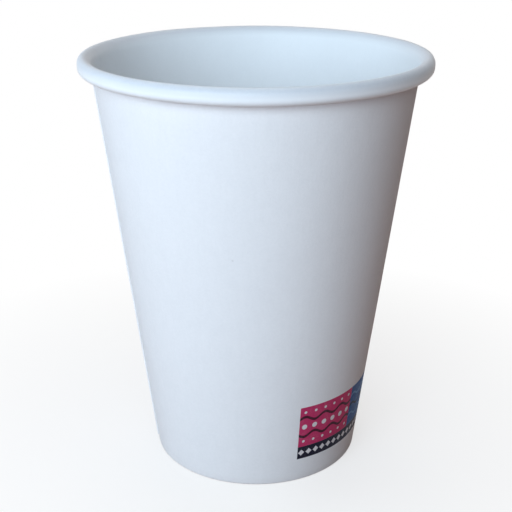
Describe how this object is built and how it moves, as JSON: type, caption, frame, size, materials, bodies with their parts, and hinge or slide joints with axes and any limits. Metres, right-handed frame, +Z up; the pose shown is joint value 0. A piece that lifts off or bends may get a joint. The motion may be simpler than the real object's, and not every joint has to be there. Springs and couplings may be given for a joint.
{
  "type": "paper coffee cup",
  "caption": "Single-wall paper cup for hot drinks: a tapered board sidewall with a side seam, rolled rim and hemmed foot, closed by a recessed board floor.",
  "frame": {"origin": "centre of the foot, at the height of the table", "axes": "+Z up along the cup's axis, out of its mouth; -Y towards the side that carries the printed patch on its right"},
  "size_m": [0.09, 0.09, 0.11],
  "materials": {
    "cup_board": "white uncoated board outside, thin polyethylene film inside",
    "floor_board": "white board with a thin polyethylene film on its upper face"
  },
  "bodies": {
    "root": {"sidewall": "cup_board", "bottom_disc": "floor_board"}
  },
  "joints": []
}
